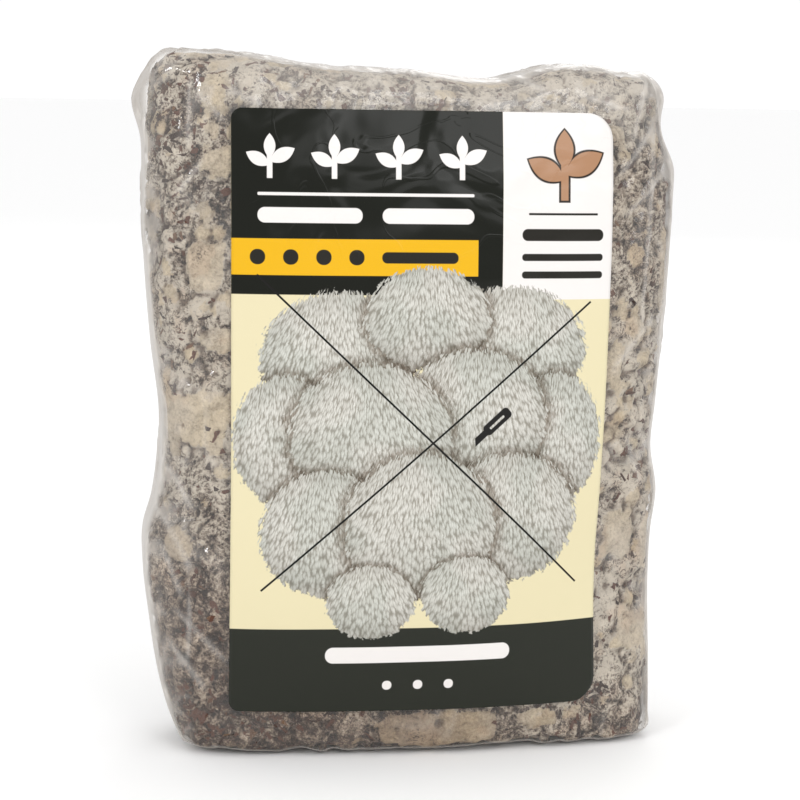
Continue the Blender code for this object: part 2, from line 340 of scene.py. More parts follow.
def knobs_and_pits(grid):
    """Centres on the grid, radii and kinds: knobs listed for the front, scattered knobs, then pits."""
    rng = np.random.default_rng(5)
    rows, columns = grid.shape[:2]
    front = np.where((grid[..., 1] < 0)[..., None], grid, 9.0)
    places = [np.argmin((front[..., 0] - x) ** 2 + (front[..., 2] - z) ** 2) for x, z, _ in FRONT_KNOBS]
    scattered = rng.integers(15, rows - 1, OTHER_KNOBS + PITS) * columns
    scattered += rng.integers(0, columns, OTHER_KNOBS + PITS)
    radii = [r for _, _, r in FRONT_KNOBS] + list(0.0011 + 0.0026 * rng.random(OTHER_KNOBS) ** 2.5)
    radii += list(0.0006 + 0.0010 * rng.random(PITS))
    kinds = ["knob"] * (len(FRONT_KNOBS) + OTHER_KNOBS) + ["pit"] * PITS
    return zip(np.concatenate([places, scattered]), radii, kinds, rng.random(len(radii)))


def grown_over(grid):
    """How far each point is grown over, from 0 to 1: the two sides' heights blended across, with blotches."""
    x, z = grid[..., 0], grid[..., 2]
    share = smooth_step(x, -GROWN_BLEND, GROWN_BLEND)
    blotches = layered_noise(grid, 0.022, 45, layers=2) - 0.5
    left, right = smooth_through(z, GROWN_LEFT), smooth_through(z, GROWN_RIGHT)
    return left * (1 - share) + right * share + 0.35 * blotches


def chip_share(grid):
    """How thickly chips lie at each point: bell curves about the chosen places, or blotches at the back."""
    x, y, z = np.moveaxis(grid, -1, 0)
    blotches = layered_noise(grid, 0.016, 55, layers=3)
    share = 0.9 * smooth_step(blotches, 0.62, 0.95) * np.where(y < 0, 0.35, 1.0)
    for across, up, wide, high, thickly in CHIP_PLACES:
        bell = np.exp(-(((x - across) / wide) ** 2) - ((z - up) / high) ** 2)
        share = np.maximum(share, (y < 0.010) * thickly * bell)
    return share


def block_relief(grid, normals):
    """How far each point of the block lies from the film's form, with its growth and tone from 0 to 1.

    The crumbs are folded noise, raised to a power so that lumps meet in sharp grooves. A knob is a dome
    1 - sqrt(1 - (d / r)^2) under its own crown, and the higher of dome and crumbs wins. A pit takes a bell
    curve away. Cream patches are ragged ellipses that lie flat under the film. Patches and the larger
    knobs are ringed by a thin line of painted shade, which the relief has no dip for. The last value is
    painted shade and light: how far a point lies below its softened neighbours, so that the colour is
    painted darker in hollows and along the ring lines and lighter on raised tops.
    """
    shape = grid.shape[:2]
    hollow = layered_noise(grid, 0.016, 11, layers=3)
    crumbs = folded_noise(grid, 0.0074, 15, fade=0.45)
    grit = layered_noise(grid, 0.0026, 21, layers=2, fade=0.7)
    relief = -HOLLOW_DEPTH * hollow**1.5 - GROOVE_DEPTH * (1 - crumbs**0.55) - GRIT_DEPTH * grit
    ragged = 0.75 + 0.5 * layered_noise(grid, 0.0042, 31, layers=3)
    torn = 0.35 + 1.3 * layered_noise(grid, 0.0065, 33, layers=3, fade=0.7)
    tone = layered_noise(grid, 0.011, 35, layers=2)
    smear = smooth_step(layered_noise(grid, 0.017, 41, layers=4), 0.68, 0.80)
    smear *= smooth_step(grown_over(grid), 0.20, 0.60)
    on_front, ring_shade = grid[..., 1] < -0.006, np.zeros(shape)
    for x, z, wide, high in CREAM_PATCHES:
        reach = torn * (((grid[..., 0] - x) / wide) ** 2 + ((grid[..., 2] - z) / high) ** 2)
        smear = np.maximum(smear, on_front * (1 - smooth_step(reach, 0.75, 1.10)))
        # A thin ring of painted shade just outside each cream patch
        ring_shade = np.maximum(ring_shade, 0.7 * on_front * np.exp(-(((reach - 1.25) / 0.16) ** 2)))
    growth = smear.copy()
    relief = relief * (1 - 0.72 * smear)
    for index, radius, kind, draw in knobs_and_pits(grid):
        row, column = divmod(int(index), shape[1])
        span = int(radius / ROW_STEP * 1.5) + 2
        rows = np.arange(max(row - span, 0), min(row + span + 1, shape[0]))[:, None]
        columns = np.arange(column - span, column + span + 1)[None, :] % shape[1]
        distance = np.linalg.norm(grid[rows, columns] - grid[row, column], axis=-1) * ragged[rows, columns]
        if kind == "pit":
            relief[rows, columns] -= radius * np.exp(-((distance / radius) ** 2))
        else:
            dome = np.sqrt(np.maximum(1 - (distance / radius) ** 2, 0))
            raised = -0.0006 * draw - 0.70 * radius * (1 - dome)
            higher = (dome > 0) & (raised > relief[rows, columns])
            relief[rows, columns] = np.where(higher, raised, relief[rows, columns])
            # A thin ring of painted shade just outside the larger knobs
            ring = 0.8 * draw * (radius > RINGED_FROM)
            ring = ring * np.exp(-(((distance - 1.02 * radius) / RING_WIDTH) ** 2))
            ring_shade[rows, columns] = np.where(higher, 0, np.maximum(ring_shade[rows, columns], ring))
            thick = smooth_step(dome, 0.0, 0.35) * (0.45 + 0.55 * (draw > 0.45))
            growth[rows, columns] = np.maximum(growth[rows, columns], higher * thick)
            tone[rows, columns] = np.where(higher, draw, tone[rows, columns])
    growth = np.maximum(growth * smooth_step(grown_over(grid), 0.15, 0.60), smear * on_front)
    ring_shade = ring_shade * torn * (1 - 0.8 * smear)
    # Painted shade and light: above 0 in hollows and on the ring lines, below 0 on raised tops
    relief_shade = np.clip(np.maximum((softened(relief, 5) - relief) / 0.0005, ring_shade), -1, 1)
    sideways = smooth_step(np.abs(normals[..., 0]), 0.35, 0.85)
    upward = smooth_step(normals[..., 2], 0.1, 0.7)
    relief -= UNDER_FILM + SIDE_SLACK * sideways + TOP_SLACK * upward
    return relief, growth, tone, relief_shade


def mesh_piece(name, points, *face_sets, smooth=True):
    """A piece from an array of points and arrays of faces, each with its own number of corners."""
    corners = np.concatenate([faces.ravel() for faces in face_sets])
    sizes = np.concatenate([np.full(len(faces), faces.shape[1]) for faces in face_sets])
    mesh = bpy.data.meshes.new(name)
    mesh.vertices.add(len(points))
    mesh.vertices.foreach_set("co", np.ascontiguousarray(points, dtype=np.float32).ravel())
    mesh.loops.add(len(corners))
    mesh.loops.foreach_set("vertex_index", corners.astype(np.int32))
    mesh.polygons.add(len(sizes))
    mesh.polygons.foreach_set("loop_start", (np.cumsum(sizes) - sizes).astype(np.int32))
    mesh.update(calc_edges=True)
    mesh.polygons.foreach_set("use_smooth", np.full(len(sizes), smooth))
    piece = bpy.data.objects.new(name, mesh)
    bpy.context.scene.collection.objects.link(piece)
    return piece


def closed_skin(name, grid):
    """A closed piece from rows of points: rings joined by quads, and a fan to the point at each end."""
    rows, columns = grid.shape[:2]
    points = np.concatenate([grid[:1, 0], grid[1:-1].reshape(-1, 3), grid[-1:, 0]])
    ring = 1 + np.arange((rows - 2) * columns).reshape(rows - 2, columns)
    ahead = np.roll(ring, -1, axis=1)
    quads = np.stack([ring[:-1], ahead[:-1], ahead[1:], ring[1:]], axis=-1).reshape(-1, 4)
    low = np.stack([np.zeros(columns, int), ahead[0], ring[0]], axis=-1)
    high = np.stack([np.full(columns, len(points) - 1), ring[-1], ahead[-1]], axis=-1)
    return mesh_piece(name, points, quads, low, high)


def skin_values(values):
    """A grid's values in the order of its closed skin's points."""
    return np.concatenate([values[:1, 0], values[1:-1].ravel(), values[-1:, 0]])


def note_values(piece, name, values):
    """Keeps a value for each point of a piece, for its material to read."""
    attribute = piece.data.attributes.new(name, "FLOAT", "POINT")
    attribute.data.foreach_set("value", values.astype(np.float32))


def paint(red, green, blue):
    """A colour as seen on a screen, 0 to 255, turned into the linear values that shaders use."""
    seen = np.array([red, green, blue]) / 255
    return (*np.where(seen <= 0.04045, seen / 12.92, ((seen + 0.055) / 1.055) ** 2.4), 1.0)


class Finish:
    """A material written as a recipe: each call adds one node and gives back the socket it makes."""

    def __init__(self, name):
        self.material = bpy.data.materials.new(name)
        self.material.use_nodes = True
        self.tree = self.material.node_tree
        self.shader = self.tree.nodes["Principled BSDF"]

    def fill(self, socket, value):
        """Links a socket to an input, or sets the input's plain value."""
        if isinstance(value, bpy.types.NodeSocket):
            self.tree.links.new(value, socket)
        else:
            socket.default_value = value

    def node(self, kind, settings=None, *values, **inputs):
        """Adds a node, sets its settings, and fills its first inputs in order and others by name."""
        made = self.tree.nodes.new(kind)
        for key, value in (settings or {}).items():
            setattr(made, key, value)
        for socket, value in zip(made.inputs, values):
            self.fill(socket, value)
        for key, value in inputs.items():
            self.fill(made.inputs[key.replace("_", " ")], value)
        return made

    def maths(self, operation, *values, clamp=False):
        """One sum or other operation on values."""
        return self.node("ShaderNodeMath", {"operation": operation, "use_clamp": clamp}, *values).outputs[0]

    def times(self, first, second):
        """The product of two values."""
        return self.maths("MULTIPLY", first, second)

    def vector(self, operation, *values):
        """One operation on vectors."""
        made = self.node("ShaderNodeVectorMath", {"operation": operation}, *values)
        return made.outputs["Value" if operation == "LENGTH" else "Vector"]

    def apart(self, vector):
        """A vector's x and y, each on its own."""
        return self.node("ShaderNodeSeparateXYZ", None, vector).outputs[:2]

    def mixed_sum(self, *shares):
        """The sum of values, each times its share."""
        total = 0.0
        for value, share in shares:
            total = self.maths("MULTIPLY_ADD", value, share, total)
        return total

    def drawn_to(self, value, aim, share):
        """A value moved towards an aim by a share of the way."""
        return self.maths("ADD", value, self.times(self.maths("SUBTRACT", aim, value), share))

    def blend(self, share, below, above, way="MIX"):
        """One colour laid over another by a share from 0 to 1."""
        made = self.node("ShaderNodeMix", {"data_type": "RGBA", "blend_type": way, "clamp_factor": True})
        self.fill(made.inputs["Factor"], share)
        self.fill(made.inputs[6], below)
        self.fill(made.inputs[7], above)
        return made.outputs[2]

    def step(self, value, low, high, to_low=0.0, to_high=1.0):
        """A smooth step: to_low below low and to_high above high."""
        settings = {"interpolation_type": "SMOOTHSTEP"}
        return self.node("ShaderNodeMapRange", settings, value, low, high, to_low, to_high).outputs[0]

    def noise(self, place, size, detail=3.0, roughness=0.5, distortion=0.0):
        """Noise whose blotches are about this size, in the units of place."""
        made = self.node("ShaderNodeTexNoise", None, Vector=place, Scale=1 / size, Detail=detail)
        self.fill(made.inputs["Roughness"], roughness)
        self.fill(made.inputs["Distortion"], distortion)
        return made.outputs["Fac"]

    def creases(self, place, size, half_width, detail=2.0, distortion=0.5):
        """Thin wandering lines: where noise of this size crosses its middle value, |n - 0.5| < half_width."""
        noise = self.noise(place, size, detail, 0.5, distortion)
        away = self.maths("ABSOLUTE", self.maths("SUBTRACT", noise, 0.5))
        return self.step(away, half_width * 0.35, half_width, 1.0, 0.0)

    def ramp(self, value, *stops):
        """A colour looked up between stops, each a value and its colour."""
        made = self.node("ShaderNodeValToRGB", None, Fac=value)
        elements = made.color_ramp.elements
        while len(elements) < len(stops):
            elements.new(0.5)
        for element, (place, colour) in zip(elements, stops):
            element.position = place
            element.color = colour
        return made.outputs[0]

    def crumpled(self, place, size, reach):
        """A place pushed about by noise of this size, by up to reach."""
        noise = self.node("ShaderNodeTexNoise", None, Vector=place, Scale=1 / size, Detail=2.0)
        return self.vector("MULTIPLY_ADD", noise.outputs["Color"], (reach, reach, reach), place)

    def place(self):
        """Where a point lies on the object, in metres."""
        return self.node("ShaderNodeTexCoord").outputs["Object"]

    def noted(self, name):
        """A value that was kept for each point of the piece."""
        return self.node("ShaderNodeAttribute", {"attribute_name": name}).outputs["Fac"]

    def bump(self, height, depth, after=None):
        """A surface normal raised by a height of 0 to 1 times a depth in metres."""
        made = self.node("ShaderNodeBump", None, Height=height, Distance=depth)
        if after is not None:
            self.fill(made.inputs["Normal"], after)
        return made.outputs[0]

    def finish(self, **inputs):
        """Fills the main shader's inputs and gives back the material."""
        for key, value in inputs.items():
            self.fill(self.shader.inputs[key.replace("_", " ")], value)
        return self.material


def chips(made, place, size, often):
    """Coverage of angular chips, at most one to a cell, and each chip's own shade from 0 to 1.

    A cell's random number plus how often chips lie here says whether it holds one.
    """
    cells = made.node("ShaderNodeTexVoronoi", {"distance": "CHEBYCHEV"}, Vector=place, Scale=1 / size)
    pick = made.node("ShaderNodeSeparateColor", None, Color=cells.outputs["Color"])
    reach = made.mixed_sum((pick.outputs[2], 0.22), (0.16, 1.0))
    inside = made.step(made.maths("SUBTRACT", cells.outputs["Distance"], reach), -0.05, 0.05, 1.0, 0.0)
    chosen = made.maths("ADD", pick.outputs[0], often)
    return made.times(inside, made.step(chosen, 1.99, 2.01)), pick.outputs[1]


def block_finish():
    """Grown sawdust: grey threads over dark sawdust, with squiggly flecks, wood chips and cream growth.

    The block's own values say how far it is grown over, where growth is thick, how grey or cream it is,
    and where its relief is painted with shade and light: darker in hollows and round the larger knobs,
    lighter on raised tops. A tangle of noise from 14 mm down to 0.1 mm, lifted by those values, runs
    through a ramp from dark sawdust to pale threads, and is painted darker as shade in the seams between
    the colour's lumps.
    """
    made = Finish("grown_sawdust")
    place = made.place()
    cover, growth, tone = (made.noted(name) for name in ("cover", "growth", "tone"))
    relief_shade, chip = made.noted("relief_shade"), made.noted("chips")
    zone = made.noise(place, 0.014, 1, 0.5)
    tangle = made.noise(place, 0.0042, 5, 0.80, 0.9)
    fine = made.noise(place, 0.0009, 3, 0.75)
    folded = made.noise(place, 0.0075, 2, 0.5)
    clumps = made.maths("ABSOLUTE", made.maths("SUBTRACT", folded, 0.5))
    rough = made.crumpled(place, 0.0016, 0.0032)
    lumps = made.node("ShaderNodeTexVoronoi", None, Vector=rough, Scale=1 / 0.0034).outputs["Distance"]
    # Painted shade: the seams between the lumps, darkened in the colour below
    groove_shade = made.step(lumps, 0.42, 0.80)
    thick = made.step(made.mixed_sum((growth, 1.0), (tangle, 1.5), (fine, 0.3)), 1.35, 1.65)
    threads = (zone, 0.8), (tangle, 3.6), (fine, 2.9), (clumps, 1.0)
    # Painted shade and light: pale is lowered in the seams between lumps and in hollows, and raised on raised
    # tops
    pale = made.mixed_sum(*threads, (cover, 0.60), (groove_shade, -0.25), (relief_shade, -0.17))
    pale = made.maths("SUBTRACT", pale, 3.25)
    pale = made.drawn_to(pale, 0.86, made.times(thick, 0.65))
    bare = made.step(cover, 0.0, 0.6, 1.0, 0.0)
    pale = made.drawn_to(pale, 0.39, made.times(bare, 0.40))
    colour = made.ramp(
        pale,
        (0.00, paint(28, 18, 13)),
        (0.20, paint(66, 51, 42)),
        (0.42, paint(122, 109, 97)),
        (0.66, paint(166, 155, 141)),
        (1.00, paint(206, 196, 181)),
    )
    colour = made.blend(made.step(folded, 0.53, 0.64, 0.0, 0.35), colour, paint(238, 218, 204), "MULTIPLY")
    squiggle = made.creases(place, 0.0026, 0.050, 1, 2.2)
    gate = made.mixed_sum((folded, 0.6), (tangle, -0.5), (cover, -0.05), (thick, -0.12))
    squiggle = made.times(squiggle, made.step(gate, -0.02, 0.06))
    colour = made.blend(made.times(squiggle, 0.75), colour, paint(52, 39, 31))
    cream = made.blend(tone, paint(255, 252, 248), paint(255, 247, 228))
    colour = made.blend(thick, colour, cream, "MULTIPLY")
    often = made.mixed_sum((zone, 0.9), (folded, 1.4), (cover, -0.12), (thick, -0.40), (chip, 1.1))
    often = made.maths("SUBTRACT", often, 0.16)
    large, shade = chips(made, rough, 0.0026, often)
    brown = made.blend(shade, paint(48, 30, 22), paint(97, 58, 40))
    colour = made.blend(made.times(large, 0.92), colour, brown)
    small, _ = chips(made, rough, 0.0012, often)
    colour = made.blend(made.times(small, 0.85), colour, paint(58, 38, 29))
    # Painted shade: hollows and the ring lines round knobs are darkened to a grey brown
    colour = made.blend(made.step(relief_shade, 0.1, 1.0, 0.0, 0.85), colour, paint(128, 110, 97), "MULTIPLY")
    colour = made.blend(made.times(bare, 0.6), colour, paint(250, 236, 224), "MULTIPLY")
    heights = made.mixed_sum((tangle, 1.3), (fine, 0.35), (lumps, -0.55))
    return made.finish(Base_Color=colour, Roughness=0.85, Normal=made.bump(heights, 0.0011))


even = even_form()
form = pushed(even, LUMPS)
form_normals = outward(form)
relief, growth, tone, relief_shade = block_relief(form, form_normals)
block_grid = form + form_normals * relief[..., None]
block_grid[..., 2] = np.maximum(block_grid[..., 2], 0.0008)
block = closed_skin("mycelium_block", block_grid)
note_values(block, "growth", skin_values(growth))
note_values(block, "tone", skin_values(tone))
note_values(block, "relief_shade", skin_values(relief_shade))
note_values(block, "cover", skin_values(grown_over(form)))
note_values(block, "chips", skin_values(chip_share(form)))
block.data.materials.append(block_finish())
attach(block, "root")
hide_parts("substrate_block")


# Loose bits. Shavings and splinters of red-brown and dark wood that the threads haven't grown over. They
# lie half sunk in the block, most of them near its top and its foot, and are cut flat and crooked.
LOOSE_BITS = 3600
BIT_LENGTH = (0.0008, 0.0025)
BIT_WIDTH = (0.0004, 0.0012)
BIT_THICKNESS = (0.00025, 0.00055)


def loose_bits(grid, normals, growth):
    """Crooked little boxes: corner = place + a * along + b * across + c * up, with every corner nudged.

    They are sown where growth is thin, and thickest where the chips in the block are.
    """
    rng = np.random.default_rng(17)
    points, facing = grid[16:-1].reshape(-1, 3), normals[16:-1].reshape(-1, 3)
    wanted = (1.05 - growth[16:-1].ravel()) * (0.06 + chip_share(grid)[16:-1].ravel())
    wanted *= layered_noise(points, 0.012, 51, layers=2) ** 2 + 0.05
    chosen = rng.choice(len(points), LOOSE_BITS, replace=False, p=wanted / wanted.sum())
    up = facing[chosen]
    place = points[chosen] - 0.00010 * up
    spin = rng.normal(size=place.shape)
    along = np.cross(up, spin)
    along /= np.linalg.norm(along, axis=1, keepdims=True)
    across = np.cross(up, along)
    ranges = (BIT_LENGTH, BIT_WIDTH, BIT_THICKNESS)
    sizes = [low + (high - low) * rng.random(LOOSE_BITS) for low, high in ranges]
    signs = np.array(list(np.ndindex(2, 2, 2))) - 0.5
    nudged = signs[None] * (1 + 0.85 * rng.uniform(-1, 1, (LOOSE_BITS, 8, 3)))
    steps = nudged * np.stack(sizes, axis=-1)[:, None, :]
    axes = np.stack([along, across, up], axis=1)
    corners = place[:, None, :] + steps @ axes
    faces = np.array([[0, 1, 3, 2], [4, 6, 7, 5], [0, 4, 5, 1], [2, 3, 7, 6], [0, 2, 6, 4], [1, 5, 7, 3]])
    faces = (8 * np.arange(LOOSE_BITS)[:, None, None] + faces).reshape(-1, 4)
    piece = mesh_piece("loose_bits", corners.reshape(-1, 3), faces, smooth=False)
    note_values(piece, "shade", np.repeat(rng.random(LOOSE_BITS), 8))
    return piece


def bits_finish():
    """Weathered wood: each bit has its own brown, streaked by noise of half a millimetre."""
    made = Finish("wood_bits")
    shade = made.noted("shade")
    colour = made.blend(made.step(shade, 0.25, 0.60), paint(46, 29, 22), paint(92, 54, 37))
    colour = made.blend(made.step(shade, 0.82, 0.98), colour, paint(122, 92, 68))
    streaks = made.noise(made.place(), 0.0006, 3, 0.6, 0.5)
    colour = made.blend(made.step(streaks, 0.35, 0.7, 0.45, 0.0), colour, paint(56, 38, 29))
    return made.finish(Base_Color=colour, Roughness=0.8, Normal=made.bump(streaks, 0.0003))


bits = loose_bits(block_grid, form_normals, growth)
bits.data.materials.append(bits_finish())
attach(bits, "root")


# The film. A clear gusseted bag of thin film drawn tight round the block: it lies on the knobs, spans the
# hollows, stands off at the gussets and over the top, and sticks out in ears where the gussets fold.
EARS = (
    ((-0.0700, 0.0020, 0.1665), (-0.0031, 0.0000, 0.0000), (0.0300, 0.0110, 0.0070)),
    ((0.0670, 0.0000, 0.1690), (0.0020, 0.0000, 0.0000), (0.0300, 0.0110, 0.0060)),
    ((0.0670, 0.0000, 0.1520), (0.0025, 0.0000, 0.0000), (0.0300, 0.0100, 0.0070)),
)
FILM_CLEARANCE = 0.00015
LABEL_WIDTH = 0.0965
LABEL_HEIGHT = 0.1524
LABEL_FOOT = 0.0128
LABEL_MIDDLE = 0.0016
FOLD_HALF_WIDTH = 0.0535
FOLD_START = 0.1680
FOLD_END = 0.0945

# Creases that fold the film, as (x, z) at both ends, half width and height
FRONT_CREASES = (
    ((-0.0570, 0.0260), (-0.0568, 0.0420), 0.0004, 0.0004),
    ((-0.0572, 0.1560), (-0.0570, 0.1720), 0.0004, 0.0005),
    ((-0.0555, 0.1690), (-0.0490, 0.1625), 0.0005, 0.0004),
    ((-0.0480, 0.1700), (-0.0400, 0.1665), 0.0006, 0.0004),
    ((-0.0600, 0.1440), (-0.0540, 0.1520), 0.0005, 0.0004),
    ((0.0612, 0.1615), (0.0520, 0.1500), 0.0005, 0.0006),
    ((0.0612, 0.1615), (0.0598, 0.1290), 0.0005, 0.0006),
    ((0.0640, 0.1500), (0.0540, 0.1400), 0.0005, 0.0005),
    ((0.0595, 0.1300), (0.0590, 0.1100), 0.0004, 0.0005),
    ((0.0620, 0.1130), (0.0515, 0.1010), 0.0006, 0.0005),
    ((0.0600, 0.1740), (0.0560, 0.1600), 0.0005, 0.0005),
    ((0.0430, 0.1690), (0.0545, 0.1660), 0.0005, 0.0005),
    ((0.0250, 0.1740), (0.0330, 0.1700), 0.0006, 0.0004),
    ((-0.0620, 0.0750), (-0.0560, 0.0650), 0.0005, 0.0003),
    ((-0.0600, 0.0385), (-0.0480, 0.0262), 0.0005, 0.0004),
    ((-0.0625, 0.0310), (-0.0530, 0.0185), 0.0006, 0.0004),
    ((-0.0640, 0.0640), (-0.0565, 0.0500), 0.0006, 0.0004),
    ((-0.0640, 0.0560), (-0.0590, 0.0430), 0.0005, 0.0003),
    ((0.0610, 0.0700), (0.0560, 0.0820), 0.0005, 0.0004),
)


def spread_high(values, reach):
    """The highest value within reach grid steps, one step each way at a time."""
    for _ in range(reach):
        values = np.maximum.reduce([values, *neighbours(values)])
    return values


def crease(across, up, start, end, width, height):
    """A folded ridge along a line: height * exp(-(d / w)^2), fading towards both of the line's ends."""
    start, end = np.array(start), np.array(end)
    length = np.linalg.norm(end - start)
    x, z = (end - start) / length
    along = ((across - start[0]) * x + (up - start[1]) * z) / length
    away = (across - start[0]) * z - (up - start[1]) * x
    fade = smooth_step(along, -0.12, 0.1) * (1 - smooth_step(along, 0.9, 1.12))
    return height * np.exp(-((away / width) ** 2)) * fade


def sheet_waves(across, up):
    """Gentle waves of the label and of the film that it is stuck to, in metres from side to side and up.

    Long waves and short ripples run all over it, and are higher in its upper part, where the block is loose.
    """
    points = np.stack([across, 0 * across, up], axis=-1)
    long_waves = layered_noise(points, 0.021, 81, layers=2, fade=0.4) - 0.5
    ripples = layered_noise(points, 0.0075, 85, layers=2, fade=0.35) - 0.5
    upper = smooth_step(up, 0.118, 0.150)
    return (0.00026 + 0.00026 * upper) * long_waves + (0.00005 + 0.00006 * upper) * ripples


def film_folds(grid):
    """Soft folds from 0 to 1: crests of folded noise, (1 - |2n - 1|)^k, stretched upright, in bands."""
    crest = 1 - folded_noise(grid * np.array([1.0, 1.0, 0.45]), 0.010, 61)
    bands = smooth_step(layered_noise(grid, 0.030, 71, layers=2), 0.42, 0.72)
    bands = np.maximum(bands, smooth_step(grid[..., 2], 0.150, 0.168))
    return crest**7 * bands


def film_relief(grid, normals, block_below):
    """How far the film lies under its even form: it spans the block's highest points, and is folded.

    Under the label and under the fold at the back it lies as flat as they do.
    """
    x, y, z = np.moveaxis(grid, -1, 0)
    spanned = softened(spread_high(block_below, 2), 5)
    spanned = np.maximum(spanned, softened(block_below, 1)) + FILM_CLEARANCE
    sideways = smooth_step(np.abs(normals[..., 0]), 0.35, 0.85)
    upward = smooth_step(normals[..., 2], 0.05, 0.6)
    loose = np.clip(sideways + upward, 0, 1)
    base = spanned * (1 - loose) + np.maximum(spanned, -0.0003) * loose
    base = base + 0.0005 * film_folds(grid)
    on_front = 1 - smooth_step(y, -0.004, 0.0)
    for start, end, width, height in FRONT_CREASES:
        base = base + on_front * crease(x, z, start, end, width * 1.6, height)
    label_top = LABEL_FOOT + LABEL_HEIGHT
    under_label = smooth_step(z, LABEL_FOOT - 0.002, LABEL_FOOT)
    under_label *= 1 - smooth_step(z, label_top, label_top + 0.002)
    past_edge = np.abs(x - LABEL_MIDDLE) - LABEL_WIDTH / 2
    under_label *= (y < 0) * (1 - smooth_step(past_edge, -0.0005, 0.0020))
    base = base * (1 - under_label) + (sheet_waves(x, z) - 0.0003) * under_label
    under_fold = smooth_step(z, FOLD_END - 0.004, FOLD_END) * (y > 0) * (1 - upward)
    under_fold *= 1 - smooth_step(np.abs(x), FOLD_HALF_WIDTH - 0.001, FOLD_HALF_WIDTH + 0.002)
    base = base * (1 - under_fold) + np.maximum(base, -0.0003) * under_fold
    return np.minimum(base, 0.0001)


def turned(made, place, centre, degrees, size):
    """Place seen from a centre, turned back by an angle and divided by a size, as separate x and y."""
    moved = made.vector("SUBTRACT", place, (*centre, 0))
    angle = -np.radians(degrees)
    swung = made.node("ShaderNodeVectorRotate", {"rotation_type": "Z_AXIS"}, Vector=moved, Angle=angle)
    return made.apart(made.vector("DIVIDE", swung.outputs[0], (*size, 1)))


def either(made, *coverages):
    """The greatest of some coverages."""
    greatest = coverages[0]
    for coverage in coverages[1:]:
        greatest = made.maths("MAXIMUM", greatest, coverage)
    return greatest


def film_finish(name, tint, roughness=0.10):
    """Clear film: see-through, whiter where it is hazy or seen at a glancing angle, and glossy.

    The piece's own values say how hazy and how loose it is. Its veil is painted a darker grey as shade
    where it is seen at a glancing angle and where it is loose. Small ripples break up its gloss, whose share
    is
    0.04 + 0.2 (1 - cos)^5 of the light, the same from both sides of the thin film.
    """
    made = Finish(name)
    place = made.place()
    ripples = made.bump(made.noise(place, 0.0034, 2, 0.55), 0.00035)
    glancing = made.node("ShaderNodeLayerWeight", None, Blend=0.5).outputs["Facing"]
    # Painted shade: the veil turns grey where the film is seen at a glancing angle and where it stands loose
    grey_shade = made.maths("MAXIMUM", made.step(glancing, 0.35, 0.90), made.noted("slack_and_shade"))
    veil_colour = made.blend(grey_shade, tint, paint(172, 165, 157))
    made.finish(Base_Color=veil_colour, Roughness=0.45, Normal=ripples)
    # The haze value holds the film's haze and, on the bag, painted highlights along its creases and fold
    # crests
    share = made.maths("ADD", made.noted("haze"), made.step(glancing, 0.45, 0.93, 0.0, 0.92), clamp=True)
    clear = made.node("ShaderNodeBsdfTransparent", None, Color=(0.985, 0.98, 0.975, 1.0))
    veil = made.node("ShaderNodeMixShader", None, share, clear.outputs[0], made.shader.outputs[0])
    white = (1, 1, 1, 1)
    gloss = made.node("ShaderNodeBsdfAnisotropic", None, Color=white, Roughness=roughness, Normal=ripples)
    facing_away = made.node("ShaderNodeLayerWeight", None, Blend=0.5, Normal=ripples).outputs["Facing"]
    shine = made.mixed_sum((made.maths("POWER", facing_away, 5.0), 0.20), (0.04, 1.0))
    whole = made.node("ShaderNodeMixShader", None, shine, veil.outputs[0], gloss.outputs[0])
    made.fill(made.tree.nodes["Material Output"].inputs["Surface"], whole.outputs[0])
    return made.material


film_form = pushed(even, LUMPS + EARS)
film_normals = outward(film_form)
film_below = film_relief(film_form, film_normals, relief)
film_grid = film_form + film_normals * film_below[..., None]
film_grid[..., 2] = np.maximum(film_grid[..., 2], 0.0)
bag = closed_skin("film_bag", film_grid)
gap = np.linalg.norm(film_grid - block_grid, axis=-1)
slack_and_shade = smooth_step(gap, 0.0014, 0.0030) * smooth_step(np.abs(film_normals[..., 0]), 0.25, 0.60)
milky = smooth_step(film_grid[..., 2], 0.154, 0.172) * smooth_step(film_grid[..., 0], -0.062, -0.036)
sideways = smooth_step(np.abs(film_normals[..., 0]), 0.40, 0.85)
film_haze_and_glints = 0.005 + 0.02 * np.clip(gap / 0.001 - 0.9, 0, 3)
film_haze_and_glints = film_haze_and_glints + 0.40 * slack_and_shade + 0.15 * milky + 0.10 * sideways
on_front = film_grid[..., 1] < 0
# Painted highlights: the haze is raised along the creases, so that they show as white lines
for start, end, width, _ in FRONT_CREASES:
    film_haze_and_glints += on_front * crease(film_grid[..., 0], film_grid[..., 2], start, end, 1.2 * width, 0.23)
film_haze_and_glints += 0.03 * layered_noise(film_grid, 0.012, 101, layers=3)
# Painted highlights: the haze is raised along the crests of the soft folds
film_haze_and_glints += 0.12 * film_folds(film_form)
note_values(bag, "haze", skin_values(film_haze_and_glints))
# Where the film stands loose at the sides its veil is painted grey as shade
note_values(bag, "slack_and_shade", skin_values(np.maximum(slack_and_shade, 0.6 * sideways)))
bag.data.materials.append(film_finish("clear_film", paint(236, 230, 222)))
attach(bag, "root")
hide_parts("grow_bag")


# The label. A tall sticker of glossy printed film, cut with rounded corners and rubbed down on the front
# of the bag. Dark bands hold pale marks, a pale field holds a heap of shaggy tufts, and thin cut lines
# cross it from corner to corner.
LABEL_LEFT_CORNER = 0.0028
LABEL_RIGHT_CORNER = 0.0068
LABEL_THICKNESS = 0.00022
LABEL_LIFT = 0.00012


def panel_point(across, height, side, pushes):
    """A point of the front (side -1) or back (side 1) panel at this distance from the middle and height."""
    rise = smooth_through(across, TOP_EDGE) - HEIGHT
    level = height - smooth_step(height, TOP_BEND_FROM, HEIGHT) * rise
    level = height - smooth_step(level, TOP_BEND_FROM, HEIGHT) * rise
    share = np.clip(np.abs(across) / half_width(level, across > 0), 0, 1)
    turn = side * np.arccos(np.sign(across) * share ** (PLAN_POWER / 2))
    return pushed(section(turn, level), pushes)


